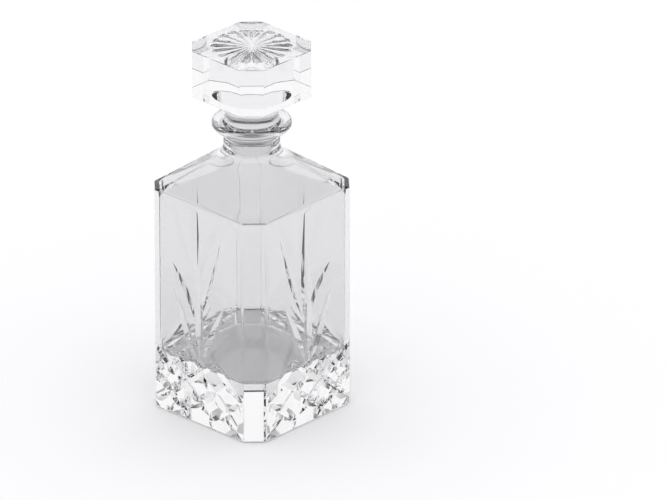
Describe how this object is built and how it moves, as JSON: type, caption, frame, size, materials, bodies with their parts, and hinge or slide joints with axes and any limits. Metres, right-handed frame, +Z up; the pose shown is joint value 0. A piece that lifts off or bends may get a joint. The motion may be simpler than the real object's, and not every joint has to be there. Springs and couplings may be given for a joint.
{
  "type": "cut crystal decanter",
  "caption": "Square cut crystal decanter with a thick base, cut faces, a round neck and lip, and a solid square glass stopper that lifts out.",
  "frame": {"origin": "middle of the flat underside, on the bottle's upright axis", "axes": "+Z up along the bottle's axis; the four cut faces look along +X, -X, +Y and -Y"},
  "size_m": [0.095, 0.095, 0.2416],
  "materials": {
    "bottle_crystal": "fire-polished clear crystal with polished cuts",
    "stopper_crystal": "polished clear crystal, solid, with a cut daisy on top"
  },
  "bodies": {
    "bottle": {"bottle": "bottle_crystal"},
    "stopper": {"stopper": "stopper_crystal"}
  },
  "joints": [
    {"name": "stopper_lift", "type": "slide", "parent": "bottle", "child": "stopper", "axis": [0, 0, 1], "range_m": [0, 0.04]}
  ]
}
